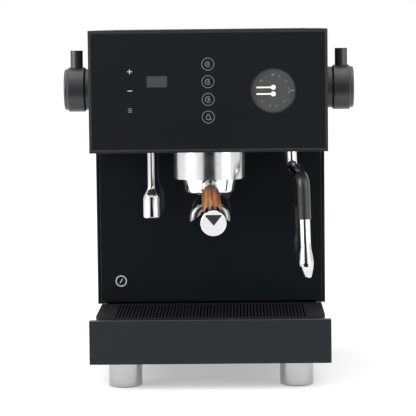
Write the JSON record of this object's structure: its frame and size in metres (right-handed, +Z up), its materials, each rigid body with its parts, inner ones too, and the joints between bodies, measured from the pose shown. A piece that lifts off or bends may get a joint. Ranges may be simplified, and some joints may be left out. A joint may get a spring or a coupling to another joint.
{
  "type": "espresso machine",
  "caption": "Home espresso machine with black glass fronts, drip tray, lever knobs, steam and water wands and a wooden-handled portafilter.",
  "frame": {"origin": "on the floor, under the middle of the whole box, handle included", "axes": "+X to the machine's right seen from the front, +Y to the back, +Z up"},
  "size_m": [0.299, 0.4228, 0.36],
  "materials": {
    "black_steel": "satin black powder coat",
    "tray_steel": "satin black",
    "bezel_steel": "satin dark grey edge",
    "black_glass": "polished black back-painted glass",
    "display": "smoked display window",
    "lens": "clear",
    "dial_face": "printed matt face",
    "needle_cream": "matt",
    "brushed_steel": "brushed",
    "polished_steel": "polished",
    "zinc_sheet": "plain galvanised sheet",
    "brass": "cast, unpolished",
    "copper": "drawn copper tube",
    "cast_aluminium": "die cast",
    "knob_metal": "dark grey anodised",
    "black_plastic": "moulded",
    "circuit_board": "glass-fibre laminate",
    "tank_plastic": "smoked translucent",
    "rubber": "moulded",
    "seal_rubber": "moulded silicone",
    "wood": "oiled orange-brown hardwood",
    "dark_chrome": "polished dark metal"
  },
  "bodies": {
    "casing": {"base_pan": "black_steel", "left_side_panel": "black_steel", "right_side_panel": "black_steel", "rear_panel": "black_steel", "top_frame": "black_steel", "cup_tray": "tray_steel", "head_underside": "bezel_steel", "head_bezel": "bezel_steel", "control_glass": "black_glass", "display_window": "display", "splash_glass": "black_glass", "column_plate": "black_steel", "inner_bulkhead": "zinc_sheet", "tank_seat": "black_plastic", "feet": "brushed_steel", "foot_pads": "rubber", "casing_screws": "polished_steel", "group_body": "brass", "group_collar": "brushed_steel", "group_gasket": "seal_rubber", "shower_screen": "polished_steel", "steam_nut": "brass", "water_nut": "brass", "knob_collars": "knob_metal", "water_valve": "brass", "steam_valve": "brass", "gauge_can": "black_plastic", "gauge_dial": "dial_face", "gauge_lens": "lens", "coffee_thermoblock": "cast_aluminium", "steam_thermoblock": "cast_aluminium", "pumps": "zinc_sheet", "solenoid_valve": "black_plastic", "control_board": "circuit_board", "power_inlet": "black_plastic", "switch_bezel": "black_plastic", "water_lines": "copper"},
    "drip_tray": {"tray_front": "tray_steel", "drip_tub": "black_plastic"},
    "drip_grid_body": {"drip_grid": "tray_steel"},
    "tank": {"water_tank": "tank_plastic"},
    "tank_cover": {"tank_lid": "black_plastic"},
    "portafilter": {"portafilter_bowl": "polished_steel", "filter_basket": "polished_steel", "double_spout": "polished_steel", "handle_ferrule": "dark_chrome", "handle_grip": "wood", "handle_cap": "polished_steel"},
    "steam_pivot": {"steam_swivel": "brass"},
    "steam_wand": {"steam_tube": "polished_steel", "steam_grip": "rubber", "steam_tip": "polished_steel"},
    "hot_water_wand": {"water_wand": "polished_steel"},
    "steam_tap": {"steam_knob": "knob_metal", "steam_knob_cap": "knob_metal"},
    "water_tap": {"water_knob": "knob_metal", "water_knob_cap": "knob_metal"},
    "upper_pointer": {"upper_needle": "needle_cream"},
    "lower_pointer": {"lower_needle": "needle_cream"},
    "mains_rocker": {"power_rocker": "black_plastic"}
  },
  "joints": [
    {"name": "tray_slide", "type": "slide", "parent": "casing", "child": "drip_tray", "axis": [0, -1, 0], "range_m": [0, 0.19]},
    {"name": "grid_lift", "type": "slide", "parent": "drip_tray", "child": "drip_grid_body", "axis": [0, 0, 1], "range_m": [0, 0.03]},
    {"name": "tank_lift", "type": "slide", "parent": "casing", "child": "tank", "axis": [0, 0, 1], "range_m": [0, 0.25]},
    {"name": "lid_hinge", "type": "hinge", "parent": "tank", "child": "tank_cover", "pos_m": [0, 0.19889, 0.356], "axis": [-1, 0, 0], "range_deg": [0, 95]},
    {"name": "portafilter_turn", "type": "hinge", "parent": "casing", "child": "portafilter", "pos_m": [0, -0.02661, 0.216], "axis": [0, 0, 1], "range_deg": [-50, 0]},
    {"name": "steam_swivel_turn", "type": "hinge", "parent": "casing", "child": "steam_pivot", "pos_m": [0.084, -0.01861, 0.247], "axis": [0, 0, 1], "range_deg": [-60, 60]},
    {"name": "steam_tilt", "type": "hinge", "parent": "steam_pivot", "child": "steam_wand", "pos_m": [0.084, -0.01861, 0.247], "axis": [0, -1, 0], "range_deg": [0, 22]},
    {"name": "water_wand_turn", "type": "hinge", "parent": "casing", "child": "hot_water_wand", "pos_m": [-0.06, -0.02361, 0.237], "axis": [0, 0, 1], "range_deg": [-45, 45]},
    {"name": "steam_knob_turn", "type": "hinge", "parent": "casing", "child": "steam_tap", "pos_m": [0.127, -0.00361, 0.2994], "axis": [1, 0, 0], "range_deg": [0, 90]},
    {"name": "water_knob_turn", "type": "hinge", "parent": "casing", "child": "water_tap", "pos_m": [-0.127, -0.00361, 0.2994], "axis": [1, 0, 0], "range_deg": [0, 90]},
    {"name": "upper_needle_turn", "type": "hinge", "parent": "casing", "child": "upper_pointer", "pos_m": [0.0654, -0.07361, 0.3017], "axis": [0, 1, 0], "range_deg": [0, 170], "stiffness_Nm_per_rad": 0.0001, "springref_deg": -28.65},
    {"name": "lower_needle_turn", "type": "hinge", "parent": "casing", "child": "lower_pointer", "pos_m": [0.0654, -0.07361, 0.2951], "axis": [0, -1, 0], "range_deg": [0, 170], "stiffness_Nm_per_rad": 0.0001, "springref_deg": -28.65},
    {"name": "rocker_press", "type": "hinge", "parent": "casing", "child": "mains_rocker", "pos_m": [-0.06, 0.20239, 0.05], "axis": [1, 0, 0], "range_deg": [0, 16]}
  ]
}
